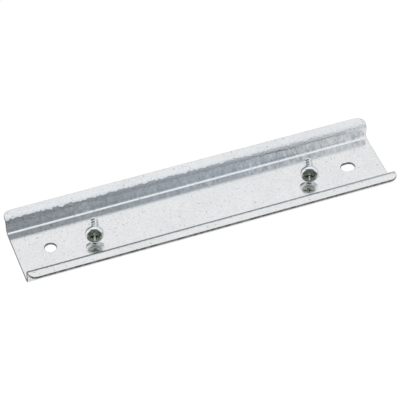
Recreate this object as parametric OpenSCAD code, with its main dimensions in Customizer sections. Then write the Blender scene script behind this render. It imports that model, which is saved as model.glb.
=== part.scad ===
// Top-hat mounting rail, 35 mm wide and 7.5 mm high, with its two fixing screws
// lying in the channel.
//
// The rail is rolled from one strip of sheet steel. Its flat base lies on the
// wall, two webs stand up from the base, and the flanges that the devices clip
// over point outwards. A round hole near one end and a slot near the other take
// the screws. Millimetres, +X along the rail, +Y across it, +Z up, with the
// origin on the resting face at the middle of the rail.

/* [Rail] */
// Length of the cut piece
rail_length = 145; // [110:1:500]
// Width over both flanges
rail_width = 35; // [33:0.5:45]
// Width of the channel over the outside of its webs
channel_width = 27; // [20:0.5:29]
// Height from the resting face to the top of the flanges
rail_height = 7.5; // [6:0.5:15]
// Thickness of the sheet
sheet = 1; // [0.6:0.1:1.4]
// Inside radius of the rolled bends
bend_radius = 1.2; // [0.4:0.1:1.6]
// Radius of the flange corners at the cut ends
corner_radius = 3; // [1:0.25:4]

/* [Fixing holes] */
// Distance from each end of the rail to the middle of its hole
hole_inset = 13; // [6:0.5:20]
// Diameter of the round hole
hole_bore = 4.5; // [3:0.1:6.5]
// Width of the slot
slot_width = 4.3; // [3:0.1:6.5]
// Length of the slot over its round ends
slot_length = 5.5; // [4.6:0.1:10]

/* [Screws] */
// Diameter of the pan head
head_width = 7; // [6:0.1:9]
// Height of the head above the face that clamps
head_height = 2.1; // [1.9:0.1:3]
// Radius of the rounded corner between the head's edge and its crown
head_corner = 1; // [0.6:0.1:1.2]
// Diameter over the crests of the thread
thread_width = 3.5; // [2.9:0.1:5]
// Depth of the thread, from crest to core
thread_depth = 0.55; // [0.2:0.05:0.6]
// Distance from one crest to the next
thread_pitch = 1.7; // [1:0.1:2]
// Length below the head, with the point
screw_length = 10; // [8:0.5:16]
// Length of the tapered point
point_length = 2.6; // [1.5:0.1:3.5]
// Width of the cross recess over its wings
recess_width = 4; // [2.5:0.1:4.6]
// Depth of the cross recess
recess_depth = 1.5; // [0.8:0.1:1.8]
// Thickness of each wing of the recess
recess_wing = 0.9; // [0.5:0.1:1.4]

/* [Screws at rest] */
// Distance from the middle of the rail to each screw's head
screw_place = 43; // [20:0.5:46]
// Distance of the left screw's head in front of the rail's middle line
left_forward = 2; // [-4:0.5:5]
// Distance of the right screw's head in front of the rail's middle line
right_forward = 1; // [-4:0.5:5]
// Turn of the left screw away from square across the rail, in degrees
left_turn = 17; // [-45:1:45]
// Turn of the right screw away from square across the rail, in degrees
right_turn = 20; // [-45:1:45]
// Play between a resting screw and the base
rest_play = 0.1; // [0.05:0.05:0.3]

/* [Hidden] */
$fn = 64;

// Half sizes of the rail's section
flange_edge = rail_width / 2;
web_outside = channel_width / 2;
web_inside = web_outside - sheet;
// Centres of the bends: the lower one joins base and web, the upper one web and flange
low_bend = [web_inside - bend_radius, sheet + bend_radius];
high_bend = [web_outside + bend_radius, rail_height - sheet - bend_radius];
// Distance from the middle of the rail to each fixing hole
hole_place = rail_length / 2 - hole_inset;
// Cutters run this far past the faces that they open
cut_over = 1;

// The crown of the head is a shallow dome that runs on from the rounded corner,
// where both slope by this many degrees
crown_slope = 10;
head_radius = head_width / 2;
crown_radius = (head_radius - head_corner) / sin(crown_slope) + head_corner;
head_edge = head_height - head_corner * cos(crown_slope)
    - crown_radius * (1 - cos(crown_slope));

// The screw lies on the rim of its head and on the last full crest of its thread
thread_radius = thread_width / 2;
core_radius = thread_radius - thread_depth;
grip_length = screw_length - point_length;
screw_tilt = atan((head_radius - thread_radius) / grip_length);
rest_height = sheet + rest_play + head_radius * cos(screw_tilt);
crest_count = floor(grip_length / thread_pitch);
tip_radius = 0.2;

// Quarter ring of sheet about a bend's centre, from +X round to +Y
module bend_ring() {
    intersection() {
        difference() {
            circle(r = bend_radius + sheet);
            circle(r = bend_radius);
        }
        square(bend_radius + sheet);
    }
}

// Right half of the rail's section: base, lower bend, web, upper bend and flange
module half_section() {
    square([low_bend[0], sheet]);
    translate(low_bend) rotate(-90) bend_ring();
    translate([web_inside, low_bend[1]])
        square([sheet, high_bend[1] - low_bend[1]]);
    translate(high_bend) rotate(90) bend_ring();
    translate([high_bend[0], rail_height - sheet])
        square([flange_edge - high_bend[0], sheet]);
}

// Whole section, drawn with the width along X and the height along Y
module rail_section() {
    half_section();
    mirror([1, 0]) half_section();
}

// What the shears take off one flange corner to leave it round
module corner_waste() {
    translate([rail_length / 2 - corner_radius, flange_edge - corner_radius, 0])
        linear_extrude(rail_height + cut_over)
            difference() {
                square(corner_radius + cut_over);
                circle(r = corner_radius);
            }
}

// Punched slot with full round ends
module slot_cut() {
    reach = (slot_length - slot_width) / 2;
    depth = sheet + 2 * cut_over;
    for (side = [-1, 1])
        translate([side * reach, 0, 0]) cylinder(d = slot_width, h = depth);
    translate([-reach, -slot_width / 2, 0]) cube([2 * reach, slot_width, depth]);
}

module rail() {
    color("silver")
        difference() {
            rotate([90, 0, 90])
                linear_extrude(rail_length, center = true) rail_section();
            for (end = [0, 1], side = [0, 1])
                mirror([end, 0, 0]) mirror([0, side, 0]) corner_waste();
            translate([-hole_place, 0, -cut_over])
                cylinder(d = hole_bore, h = sheet + 2 * cut_over);
            translate([hole_place, 0, -cut_over]) slot_cut();
        }
}

// Outline of the head: flat clamping face, straight edge, rounded corner and crown
function head_outline() = concat(
    [[0, 0], [head_radius, 0]],
    [for (turn = [0 : 10 : 90 - crown_slope])
        [head_radius - head_corner * (1 - cos(turn)), head_edge + head_corner * sin(turn)]],
    [for (slope = [crown_slope - 2.5 : -2.5 : 0])
        [crown_radius * sin(slope), head_height - crown_radius * (1 - cos(slope))]]
);

// Outline of the shank: one sharp crest for every pitch, then the tapered point
function shank_outline() = concat(
    [[0, 0], [core_radius, 0]],
    [for (turn = [1 : crest_count])
        each let (crest = grip_length - (crest_count - turn) * thread_pitch) [
            [core_radius, -(crest - thread_pitch / 3)],
            [thread_radius, -crest],
            [core_radius, -(crest + thread_pitch / 3)]
        ]],
    [[tip_radius, -screw_length], [0, -screw_length]]
);

// Cross recess that narrows towards its floor
module cross_recess() {
    translate([0, 0, head_height - recess_depth])
        intersection() {
            cylinder(r1 = recess_width / 4, r2 = recess_width / 2,
                     h = recess_depth + cut_over);
            for (turn = [0, 90])
                rotate(turn)
                    translate([-recess_width, -recess_wing / 2, 0])
                        cube([2 * recess_width, recess_wing, recess_depth + cut_over]);
        }
}

// Screw with its clamping face at the origin and its head towards +Z
module screw() {
    difference() {
        union() {
            rotate_extrude() polygon(head_outline());
            rotate_extrude() polygon(shank_outline());
        }
        cross_recess();
    }
}

// Lays a screw on the base, head forwards, with its head over the given place
module lying_screw(place, forward, turn) {
    translate([place, -forward, rest_height])
        rotate([0, 0, -turn]) rotate([90 - screw_tilt, 0, 0]) screw();
}

module screw_left() {
    color("gainsboro") lying_screw(-screw_place, left_forward, left_turn);
}

module screw_right() {
    color("gainsboro") lying_screw(screw_place, right_forward, right_turn);
}

rail();
screw_left();
screw_right();
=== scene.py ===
import math

import bmesh
import bpy
from mathutils import Matrix, Vector


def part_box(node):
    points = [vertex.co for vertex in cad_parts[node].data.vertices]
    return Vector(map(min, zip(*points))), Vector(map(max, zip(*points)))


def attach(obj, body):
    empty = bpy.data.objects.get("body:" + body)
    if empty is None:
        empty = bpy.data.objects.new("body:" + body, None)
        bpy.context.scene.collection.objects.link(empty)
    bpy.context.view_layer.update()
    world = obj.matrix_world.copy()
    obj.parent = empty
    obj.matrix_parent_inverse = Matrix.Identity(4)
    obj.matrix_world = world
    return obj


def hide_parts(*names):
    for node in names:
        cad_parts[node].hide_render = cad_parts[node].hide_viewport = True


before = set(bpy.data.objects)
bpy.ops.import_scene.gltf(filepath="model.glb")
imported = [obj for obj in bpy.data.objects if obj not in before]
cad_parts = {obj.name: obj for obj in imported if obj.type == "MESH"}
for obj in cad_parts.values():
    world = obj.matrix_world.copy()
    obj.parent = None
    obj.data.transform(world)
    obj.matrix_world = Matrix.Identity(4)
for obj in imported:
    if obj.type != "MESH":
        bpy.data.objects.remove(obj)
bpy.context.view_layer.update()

scene = bpy.context.scene


# ---- The rail ---------------------------------------------------------------
# One strip of galvanised sheet steel, punched flat and then cold rolled to the
# top-hat section. The blank is cut first, with round flange corners, and the
# rolls fold it about four long bends.

MM = 0.001
rail_low, rail_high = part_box("rail")
rail_length = rail_high.x - rail_low.x
rail_width = rail_high.y - rail_low.y
rail_height = rail_high.z - rail_low.z
sheet = 1.0 * MM
channel_width = 27.0 * MM
bend_radius = 1.2 * MM
corner_radius = 3.0 * MM
hole_inset = 13.0 * MM
hole_bore = 4.5 * MM
slot_width = 4.3 * MM
slot_length = 5.5 * MM
# Radius to which shearing and handling leave the arrises of the sheet
edge_wear = 0.2 * MM

# Half the section along the middle of the sheet, from the middle of the base out
# to the flange's edge: each stretch has a length and a curl, in radians per metre
fold_radius = bend_radius + sheet / 2
base_half = channel_width / 2 - sheet - bend_radius
web_flat = rail_height - 2 * (sheet + bend_radius)
flange_flat = (rail_width - channel_width) / 2 - bend_radius
quarter_bend = fold_radius * math.pi / 2
stretches = [
    (base_half, 0.0),
    (quarter_bend, 1 / fold_radius),
    (web_flat, 0.0),
    (quarter_bend, -1 / fold_radius),
    (flange_flat, 0.0),
]
blank_half = sum(length for length, curl in stretches)
# Straight steps that stand for a quarter of a bend, a flange corner and half a hole
bend_steps = 12
corner_steps = 12
hole_steps = 24


def arc_points(centre, radius, start, end, steps):
    """Points on an arc about centre, from the start to the end angle in degrees."""
    turns = [math.radians(start + (end - start) * i / steps) for i in range(steps + 1)]
    return [(centre[0] + radius * math.cos(t), centre[1] + radius * math.sin(t)) for t in turns]


def blank_outline():
    """Strip cut to length with its four corners rounded, anticlockwise."""
    along = rail_length / 2 - corner_radius
    across = blank_half - corner_radius
    corners = [(along, across, 0), (-along, across, 90), (-along, -across, 180), (along, -across, 270)]
    points = []
    for x, y, start in corners:
        points += arc_points((x, y), corner_radius, start, start + 90, corner_steps)
    return points


def hole_outline(x, length, width):
    """Round hole or round-ended slot at x on the middle line, clockwise."""
    reach = (length - width) / 2
    points = arc_points((x + reach, 0.0), width / 2, 90, -90, hole_steps)
    points += arc_points((x - reach, 0.0), width / 2, 270, 90, hole_steps)
    # The two arcs of a round hole meet, and the shared point is kept once
    return [p for i, p in enumerate(points) if math.dist(p, points[i - 1]) > edge_wear / 10]


def finished_mesh(piece):
    """Mesh of a linked object as its bevels and modifiers leave it."""
    settled = piece.evaluated_get(bpy.context.evaluated_depsgraph_get())
    return bpy.data.meshes.new_from_object(settled)


def punched_blank():
    """Flat strip with its holes, its middle plane at height 0, its arrises rounded."""
    hole_place = rail_length / 2 - hole_inset
    curve = bpy.data.curves.new("blank", "CURVE")
    curve.dimensions = "2D"
    curve.fill_mode = "BOTH"
    curve.extrude = sheet / 2 - edge_wear
    curve.bevel_depth = edge_wear
    curve.bevel_resolution = 2
    curve.offset = -edge_wear
    outlines = [
        blank_outline(),
        hole_outline(-hole_place, hole_bore, hole_bore),
        hole_outline(hole_place, slot_length, slot_width),
    ]
    for outline in outlines:
        spline = curve.splines.new("POLY")
        spline.points.add(len(outline) - 1)
        spline.use_cyclic_u = True
        for point, (x, y) in zip(spline.points, outline):
            point.co = (x, y, 0.0, 1.0)
    holder = bpy.data.objects.new("blank", curve)
    scene.collection.objects.link(holder)
    mesh = finished_mesh(holder)
    bpy.data.objects.remove(holder)
    return mesh


def fold_at(across):
    """Place on the sheet's middle line and fold angle, at a distance across the blank."""
    y, z, fold = 0.0, sheet / 2, 0.0
    left = abs(across)
    for length, curl in stretches:
        step = min(left, length)
        if curl:
            y += (math.sin(fold + curl * step) - math.sin(fold)) / curl
            z += (math.cos(fold) - math.cos(fold + curl * step)) / curl
        else:
            y += step * math.cos(fold)
            z += step * math.sin(fold)
        fold += curl * step
        left -= step
    y += left * math.cos(fold)
    return math.copysign(y, across), z, math.copysign(fold, across)


def rim_bend(across):
    """How far round the bend of web and flange a point is: 1 in its middle, 0 outside it."""
    start = base_half + quarter_bend + web_flat
    share = (abs(across) - start) / quarter_bend
    return math.sin(math.pi * min(max(share, 0.0), 1.0))


def roll_form(mesh):
    """Folds the flat blank to the section, and its shading normals with it.

    Each point keeps its depth in the sheet, from -0.5 to 0.5, and its share of the
    stretching where web and flange meet, for the material to use.
    """
    form = bmesh.new()
    form.from_mesh(mesh)
    bmesh.ops.remove_doubles(form, verts=form.verts, dist=edge_wear / 1000)
    bmesh.ops.recalc_face_normals(form, faces=form.faces)
    # Cuts along the strip, so that the flat faces can follow the bends
    reach = 0.0
    for length, curl in stretches[:-1]:
        steps = bend_steps if curl else 1
        for i in range(1, steps + 1):
            for side in (-1, 1):
                cut = side * (reach + length * i / steps)
                parts = form.verts[:] + form.edges[:] + form.faces[:]
                bmesh.ops.bisect_plane(form, geom=parts, plane_co=(0, cut, 0), plane_no=(0, 1, 0))
        reach += length
    form.normal_update()
    depth_layer = form.verts.layers.float.new("depth")
    stretch_layer = form.verts.layers.float.new("stretch")
    normals = []
    upright = sheet / 2 - edge_wear
    for vert in form.verts:
        x, across, depth = vert.co
        # The arris is a quarter round, so the height on it gives the slope there
        lift = min(max((abs(depth) - upright) / edge_wear, 0.0), 1.0)
        outward = Vector((vert.normal.x, vert.normal.y, 0.0))
        if lift > 0.999 or outward.length < 1e-6:
            normal = Vector((0.0, 0.0, math.copysign(1.0, depth)))
        else:
            normal = outward.normalized() * math.sqrt(1 - lift * lift)
            normal.z = math.copysign(lift, depth)
        y, z, fold = fold_at(across)
        vert[depth_layer] = depth / sheet
        vert[stretch_layer] = rim_bend(across)
        vert.co = (x, y - depth * math.sin(fold), z + depth * math.cos(fold))
        normals.append(Matrix.Rotation(fold, 3, "X") @ normal)
    form.to_mesh(mesh)
    form.free()
    for polygon in mesh.polygons:
        polygon.use_smooth = True
    mesh.normals_split_custom_set_from_vertices(normals)


class NodeDesk:
    """Short way to lay out the nodes of one material or world; noise scales are per metre."""

    def __init__(self, owner):
        owner.use_nodes = True
        self.tree = owner.node_tree
        self.tree.nodes.clear()

    def add(self, kind, inputs=None, **settings):
        node = self.tree.nodes.new(kind)
        for name, value in settings.items():
            setattr(node, name, value)
        for name, value in (inputs or {}).items():
            if isinstance(value, bpy.types.NodeSocket):
                self.tree.links.new(value, node.inputs[name])
            else:
                node.inputs[name].default_value = value
        return node

    def math(self, operation, a, b=0.0, clamp=False):
        return self.add("ShaderNodeMath", {0: a, 1: b}, operation=operation, use_clamp=clamp).outputs[0]

    def ramp(self, value, low, high, out_low=0.0, out_high=1.0, kind="SMOOTHSTEP"):
        inputs = {"Value": value, "From Min": low, "From Max": high, "To Min": out_low, "To Max": out_high}
        return self.add("ShaderNodeMapRange", inputs, interpolation_type=kind).outputs["Result"]

    def mix(self, factor, a, b):
        return self.add("ShaderNodeMix", {0: factor, 6: a, 7: b}, data_type="RGBA").outputs[2]

    def vector(self, operation, a, b=(0, 0, 0)):
        return self.add("ShaderNodeVectorMath", {0: a, 1: b}, operation=operation).outputs[0]

    def scaled(self, arrow, scale):
        inputs = {0: arrow, "Scale": scale}
        return self.add("ShaderNodeVectorMath", inputs, operation="SCALE").outputs[0]

    def noise(self, place, scale, detail=2.0, stretch=(1, 1, 1)):
        if stretch != (1, 1, 1):
            place = self.add("ShaderNodeMapping", {"Vector": place, "Scale": stretch}).outputs["Vector"]
        inputs = {"Vector": place, "Scale": scale, "Detail": detail}
        return self.add("ShaderNodeTexNoise", inputs).outputs["Fac"]

    def out(self, shader, kind="ShaderNodeOutputMaterial"):
        self.add(kind, {"Surface": shader})


def galvanised_sheet():
    """Bright zinc with fine dark pits; creased where the bends stretched it, bare where cut."""
    material = bpy.data.materials.new("galvanised_sheet")
    desk = NodeDesk(material)
    place = desk.add("ShaderNodeTexCoord").outputs["Object"]
    depth = desk.add("ShaderNodeAttribute", attribute_name="depth").outputs["Fac"]
    stretch = desk.add("ShaderNodeAttribute", attribute_name="stretch").outputs["Fac"]
    # 0 on the two faces of the sheet, 1 on its sheared edges and their arrises
    cut = desk.ramp(desk.math("ABSOLUTE", depth), 0.4995, 0.485)

    clouds = desk.noise(place, 90, 3)
    grains = desk.noise(place, 1400, 2)
    pits = desk.noise(place, 900, 1)
    creases = desk.noise(place, 900, 1, stretch=(1, 0.25, 0.25))

    dull_zinc = (0.75, 0.755, 0.76, 1)
    bright_zinc = (0.85, 0.853, 0.855, 1)
    pitted_zinc = (0.36, 0.36, 0.37, 1)
    painted_bend_reflection = (0.25, 0.25, 0.25, 1)
    dull_steel = (0.12, 0.12, 0.12, 1)
    bright_steel = (0.24, 0.24, 0.235, 1)
    shade = desk.math("ADD", desk.math("MULTIPLY", clouds, 0.3), desk.math("MULTIPLY", grains, 0.7))
    zinc = desk.mix(desk.ramp(shade, 0.3, 0.7), dull_zinc, bright_zinc)
    specks = desk.math("MULTIPLY", desk.ramp(pits, 0.66, 0.74), 0.6)
    zinc = desk.mix(specks, zinc, pitted_zinc)
    # Painted dark reflection on the bends of web and flange, darker on the front bend than on the rear one
    across = desk.add("ShaderNodeSeparateXYZ", {0: place}).outputs["Y"]
    bend_reflection_share = desk.ramp(across, -5 * MM, -10 * MM, 0.3, 0.85, "LINEAR")
    zinc = desk.mix(desk.math("MULTIPLY", stretch, bend_reflection_share), zinc, painted_bend_reflection)
    steel = desk.mix(desk.ramp(creases, 0.4, 0.6), dull_steel, bright_steel)
    colour = desk.mix(cut, zinc, steel)
    zinc_rough = 0.13
    steel_rough = 0.42
    rough = desk.ramp(cut, 0, 1, zinc_rough, steel_rough, "LINEAR")

    # The creases tip the surface round the bend where it was stretched, and
    # everywhere turn it a little along the rail
    normal = desk.add("ShaderNodeNewGeometry").outputs["Normal"]
    along_rail = (1, 0, 0)
    sway = desk.math("SUBTRACT", creases, 0.5)
    round_bend = desk.vector("CROSS_PRODUCT", along_rail, normal)
    tipped = desk.scaled(round_bend, desk.math("MULTIPLY", sway, stretch))
    turned = desk.scaled(along_rail, desk.math("MULTIPLY", sway, 0.1))
    normal = desk.vector("NORMALIZE", desk.vector("ADD", desk.vector("ADD", normal, tipped), turned))
    grain_height = 0.002 * MM
    bump = desk.add("ShaderNodeBump", {
        "Strength": 1.0, "Distance": grain_height, "Height": grains, "Normal": normal})
    shader = desk.add("ShaderNodeBsdfPrincipled", {
        "Base Color": colour, "Metallic": 1.0, "Roughness": rough, "Normal": bump.outputs["Normal"]})
    desk.out(shader.outputs[0])
    return material


strip = punched_blank()
roll_form(strip)
strip.materials.clear()
strip.materials.append(galvanised_sheet())
rail = bpy.data.objects.new("rail_strip", strip)
scene.collection.objects.link(rail)
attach(rail, "root")
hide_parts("rail")


# ---- The fixing screws ------------------------------------------------------
# Two thread-forming pan-head screws, zinc plated, lying in the channel on the
# rims of their heads and the crests of their threads. The head is pressed with
# a cross recess and the thread is rolled on a pointed blank.

head_radius = 3.5 * MM
head_height = 2.1 * MM
head_corner = 1.0 * MM
crown_slope = math.radians(10)
thread_radius = 1.75 * MM
thread_depth = 0.55 * MM
thread_pitch = 1.7 * MM
screw_length = 10.0 * MM
point_length = 2.6 * MM
tip_radius = 0.15 * MM
recess_reach = 2.0 * MM
recess_wing = 0.48 * MM
recess_depth = 1.5 * MM
head_steps = 72
thread_steps = 40
rest_play = 0.1 * MM
# Place of each head along and across the rail, and the turn of its shank
screw_places = {"left": (-43 * MM, -2 * MM, 17), "right": (43 * MM, -1 * MM, 20)}
screw_tilt = math.atan((head_radius - thread_radius) / (screw_length - point_length))
rest_height = sheet + rest_play + head_radius * math.cos(screw_tilt)


def lathe(form, outline, steps):
    """Turns an outline of (radius, height) points about the Z axis."""
    rings = []
    for radius, height in outline:
        if radius == 0:
            rings.append([form.verts.new((0, 0, height))])
            continue
        turns = [2 * math.pi * i / steps for i in range(steps)]
        rings.append([form.verts.new((radius * math.cos(t), radius * math.sin(t), height)) for t in turns])
    for low, high in zip(rings, rings[1:]):
        for i in range(steps):
            j = (i + 1) % steps
            corners = [low[i % len(low)], low[j % len(low)], high[j % len(high)], high[i % len(high)]]
            form.faces.new(list(dict.fromkeys(corners)))


def head_outline():
    """Clamping face, straight edge, rounded corner and the shallow dome of the crown."""
    crown_radius = (head_radius - head_corner) / math.sin(crown_slope) + head_corner
    crown_rise = crown_radius * (1 - math.cos(crown_slope))
    edge_height = head_height - crown_rise - head_corner * math.cos(crown_slope)
    edge_ease = 0.08 * MM
    points = [(0.0, 0.0), (head_radius - edge_ease, 0.0), (head_radius, edge_ease)]
    corner = (head_radius - head_corner, edge_height)
    points += arc_points(corner, head_corner, 0, 90 - math.degrees(crown_slope), 10)
    crown_steps = 6
    for i in reversed(range(crown_steps)):
        slope = crown_slope * i / crown_steps
        height = head_height - crown_radius * (1 - math.cos(slope))
        points.append((crown_radius * math.sin(slope), height))
    return points


def cross_cutter():
    """Cross recess punch: four wings that narrow and close in towards the floor."""
    form = bmesh.new()
    # Height of each level, and its shares of the wings' full reach and thickness
    levels = [
        (head_height + 0.5 * MM, 1.12, 1.1),
        (head_height - 0.3 * MM, 0.93, 1.0),
        (head_height - recess_depth, 0.42, 0.8),
    ]
    wing_point = 0.12 * MM
    inner_corner = 1.35
    rings = []
    for height, reach_share, wing_share in levels:
        reach = recess_reach * reach_share
        wing = recess_wing * wing_share
        corner = [(reach, -wing), (reach + wing_point, 0.0), (reach, wing)]
        corner.append((wing * inner_corner, wing * inner_corner))
        ring = []
        for quarter in range(4):
            turn = Matrix.Rotation(quarter * math.pi / 2, 3, "Z")
            ring += [form.verts.new(turn @ Vector((x, y, height))) for x, y in corner]
        rings.append(ring)
    for high, low in zip(rings, rings[1:]):
        for i in range(len(high)):
            j = (i + 1) % len(high)
            form.faces.new((high[i], high[j], low[j], low[i]))
    form.faces.new(rings[0][::-1])
    form.faces.new(rings[-1])
    bmesh.ops.recalc_face_normals(form, faces=form.faces)
    mesh = bpy.data.meshes.new("punch")
    form.to_mesh(mesh)
    form.free()
    return mesh


def shank_radii(height):
    """Core and crest radius at a height, both drawn in to the point in a full curve."""
    share = min(max((height + screw_length) / point_length, 0.0), 1.0)
    core_curve = 0.8
    crest_curve = 0.6
    core = tip_radius + (thread_radius - thread_depth - tip_radius) * share ** core_curve
    crest = tip_radius + (thread_radius - tip_radius) * share ** crest_curve
    return core, crest


def wind_thread(form, steps):
    """Rolled right-hand thread as one winding surface, trimmed in the head and at the tip."""
    # Shares of the pitch, and of the rise from core to crest, along one turn's profile
    flank = thread_depth * math.tan(math.radians(30)) / thread_pitch
    crest_flat = 0.04
    root_end = 1 - crest_flat - 2 * flank
    crest_start = root_end + flank
    profile = [(0.0, 0.0), (root_end, 0.0), (crest_start, 1.0), (crest_start + crest_flat, 1.0)]
    # The winding starts below the tip and ends past the head, for the trims to cut
    spare_turns = 1.5
    count = round((screw_length / thread_pitch + 2 * spare_turns) * steps)
    rows = []
    for i in range(count + 1):
        angle = 2 * math.pi * i / steps
        row = []
        for share, rise in profile:
            height = thread_pitch * (i / steps + share - spare_turns) - screw_length
            core, crest = shank_radii(height)
            radius = core + (crest - core) * rise
            row.append(form.verts.new((radius * math.cos(angle), radius * math.sin(angle), height)))
        rows.append(row)
    for i in range(count):
        for j in range(len(profile) - 1):
            form.faces.new((rows[i][j], rows[i + 1][j], rows[i + 1][j + 1], rows[i][j + 1]))
        if i + 1 + steps <= count:
            form.faces.new((rows[i][-1], rows[i + 1][-1], rows[i + 1 + steps][0], rows[i + steps][0]))
    sunk_in_head = 0.25 * MM
    for height, kept_side in ((-screw_length, 1), (sunk_in_head, -1)):
        parts = form.verts[:] + form.edges[:] + form.faces[:]
        cut = bmesh.ops.bisect_plane(
            form, geom=parts, plane_co=(0, 0, height), plane_no=(0, 0, kept_side), clear_inner=True)
        rim = [part for part in cut["geom_cut"] if isinstance(part, bmesh.types.BMEdge)]
        bmesh.ops.contextual_create(form, geom=rim)


def pressed_head():
    """Head with its cross recess and eased edges, clamping face at height 0."""
    form = bmesh.new()
    lathe(form, head_outline(), head_steps)
    bmesh.ops.recalc_face_normals(form, faces=form.faces)
    mesh = bpy.data.meshes.new("screw")
    form.to_mesh(mesh)
    form.free()
    head = bpy.data.objects.new("screw_head", mesh)
    punch = bpy.data.objects.new("punch", cross_cutter())
    for piece in (head, punch):
        scene.collection.objects.link(piece)
    press = head.modifiers.new("recess", "BOOLEAN")
    press.object = punch
    press.solver = "EXACT"
    ease = head.modifiers.new("ease", "BEVEL")
    ease.width = 0.05 * MM
    ease.segments = 2
    ease.limit_method = "ANGLE"
    ease.angle_limit = math.radians(35)
    pressed = finished_mesh(head)
    for piece in (head, punch):
        bpy.data.objects.remove(piece)
    return pressed


def screw_mesh():
    """Head and threaded shank in one mesh, along Z with the head up."""
    mesh = pressed_head()
    form = bmesh.new()
    wind_thread(form, thread_steps)
    bmesh.ops.recalc_face_normals(form, faces=form.faces)
    form.from_mesh(mesh)
    form.to_mesh(mesh)
    form.free()
    for polygon in mesh.polygons:
        polygon.use_smooth = True
    mesh.set_sharp_from_angle(angle=math.radians(32))
    # 1 over the crown and its recess, 0 on the rounded corner, the edge and the shank
    crown = mesh.attributes.new("crown", "FLOAT", "POINT")
    crown_reach = head_radius - 0.75 * head_corner
    for vertex in mesh.vertices:
        on_crown = vertex.co.z > 0 and vertex.co.xy.length < crown_reach
        crown.data[vertex.index].value = 1.0 if on_crown else 0.0
    return mesh


def zinc_plate():
    """Bright zinc plate, clearer than the sheet, with a greenish painted dark reflection over the crown.
    """
    material = bpy.data.materials.new("zinc_plate")
    desk = NodeDesk(material)
    place = desk.add("ShaderNodeTexCoord").outputs["Object"]
    crown = desk.add("ShaderNodeAttribute", attribute_name="crown").outputs["Fac"]
    stain = desk.noise(place, 900, 2)
    cool_plate = (0.80, 0.82, 0.83, 1)
    warm_plate = (0.88, 0.88, 0.86, 1)
    crown_painted_reflection = (0.36, 0.39, 0.33, 1)
    plate = desk.mix(desk.ramp(stain, 0.35, 0.65), cool_plate, warm_plate)
    # The crown and its recess get a painted dark reflection
    colour = desk.mix(crown, plate, crown_painted_reflection)
    rough = desk.ramp(stain, 0.3, 0.7, 0.08, 0.16, "LINEAR")
    shader = desk.add("ShaderNodeBsdfPrincipled", {
        "Base Color": colour, "Metallic": 1.0, "Roughness": rough})
    desk.out(shader.outputs[0])
    return material


screw_form = screw_mesh()
screw_form.materials.clear()
screw_form.materials.append(zinc_plate())
for side, (x, y, turned) in screw_places.items():
    lying = screw_form.copy()
    lying.transform(
        Matrix.Translation((x, y, rest_height))
        @ Matrix.Rotation(-math.radians(turned), 4, "Z")
        @ Matrix.Rotation(math.pi / 2 - screw_tilt, 4, "X")
    )
    screw = bpy.data.objects.new("pan_head_screw_" + side, lying)
    scene.collection.objects.link(screw)
    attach(screw, "root")
    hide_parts("screw_" + side)


# ---- The paper it lies on ---------------------------------------------------
# White sweep under the rail. It shows nearly white by itself and keeps the
# rail's shadow.

paper_half = 2.0
paper_gap = 0.02 * MM
paper_mesh = bpy.data.meshes.new("paper")
corners = [(x * paper_half, y * paper_half, 0) for x, y in ((-1, -1), (1, -1), (1, 1), (-1, 1))]
paper_mesh.from_pydata(corners, [], [(0, 1, 2, 3)])
paper = bpy.data.objects.new("paper", paper_mesh)
paper.location.z = -paper_gap
scene.collection.objects.link(paper)


def white_paper():
    """White where the camera or the metal sees it, with a share left to show the shadow."""
    material = bpy.data.materials.new("white_paper")
    desk = NodeDesk(material)
    path = desk.add("ShaderNodeLightPath").outputs
    matt = desk.add("ShaderNodeBsdfDiffuse", {"Color": (0.9, 0.9, 0.9, 1)}).outputs[0]
    # A little over 1, to make up for the dim share that takes the shadow
    glow = desk.add("ShaderNodeEmission", {"Color": (1, 1, 1, 1), "Strength": 1.03}).outputs[0]
    seen = desk.math("MULTIPLY", path["Is Camera Ray"], 0.95)
    mirrored = desk.math("MAXIMUM", path["Is Glossy Ray"], path["Is Transmission Ray"])
    share = desk.math("MAXIMUM", seen, desk.math("MULTIPLY", mirrored, 0.6))
    desk.out(desk.add("ShaderNodeMixShader", {0: share, 1: matt, 2: glow}).outputs[0])
    return material


paper_mesh.materials.append(white_paper())


# ---- The studio -------------------------------------------------------------
# A soft light overhead and white walls, and between them a dark room, which the
# webs and bends of the rail show. The dark reaches high in front and stays low
# behind. It ends at the far left, and in front it grows paler to the right and
# ends there too.

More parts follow.
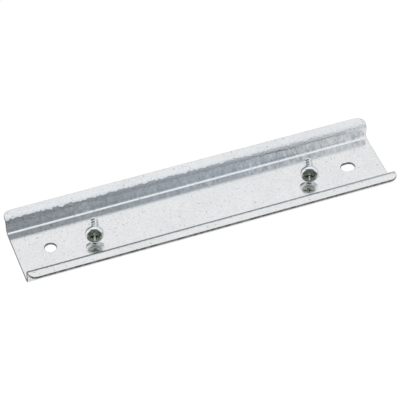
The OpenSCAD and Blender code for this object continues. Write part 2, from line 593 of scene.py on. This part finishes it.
world = bpy.data.worlds.new("studio")
scene.world = world
desk = NodeDesk(world)
wall_light = (0.965, 0.97, 0.975, 1)
overhead_light = (1.02, 1.08, 1.15, 1)
deep_gloom = (0.19, 0.21, 0.21, 1)
pale_gloom = (0.53, 0.60, 0.68, 1)
direction = desk.add("ShaderNodeTexCoord").outputs["Generated"]
toward = desk.add("ShaderNodeSeparateXYZ", {0: direction}).outputs
light = desk.mix(desk.ramp(toward["Z"], 0.75, 0.97), wall_light, overhead_light)
gloom = desk.mix(desk.ramp(toward["X"], 0.1, 0.29, kind="LINEAR"), deep_gloom, pale_gloom)
in_front = desk.ramp(toward["Y"], 0.05, -0.3)
behind = desk.math("SUBTRACT", 1.0, in_front)
low_in_front = desk.math("MULTIPLY", in_front, desk.ramp(toward["Z"], 0.82, 0.74))
low_behind = desk.math("MULTIPLY", behind, desk.ramp(toward["Z"], 0.66, 0.35))
low = desk.math("ADD", low_in_front, low_behind)
left_end = desk.ramp(toward["X"], -0.75, -0.62)
right_end = desk.ramp(toward["X"], 0.325, 0.285)
right_end = desk.math("ADD", right_end, desk.math("MULTIPLY", behind, 0.8), clamp=True)
dark = desk.math("MULTIPLY", low, desk.math("MULTIPLY", left_end, right_end))
sky = desk.mix(dark, light, gloom)
# The camera sees plain white past the edge of the paper
seen = desk.add("ShaderNodeLightPath").outputs["Is Camera Ray"]
sky = desk.mix(seen, sky, (1, 1, 1, 1))
desk.out(desk.add("ShaderNodeBackground", {"Color": sky}).outputs[0], "ShaderNodeOutputWorld")

scene.view_settings.view_transform = "Standard"


# ---- The camera -------------------------------------------------------------
# Long lens, looking down on the rail from the front and its left.

azimuth = math.radians(-20.94)
elevation = math.radians(47.03)
roll = math.radians(0.52)
distance = 0.7687
target = Vector((0.0001, 0.0024, 0.0021))
turn = (
    Matrix.Rotation(azimuth, 4, "Z")
    @ Matrix.Rotation(math.pi / 2 - elevation, 4, "X")
    @ Matrix.Rotation(roll, 4, "Z")
)
lens = bpy.data.cameras.new("camera")
lens.lens = 184.4
lens.sensor_width = 36.0
camera = bpy.data.objects.new("camera", lens)
camera.matrix_world = Matrix.Translation(target + turn.to_3x3() @ Vector((0, 0, distance))) @ turn
scene.collection.objects.link(camera)
scene.camera = camera
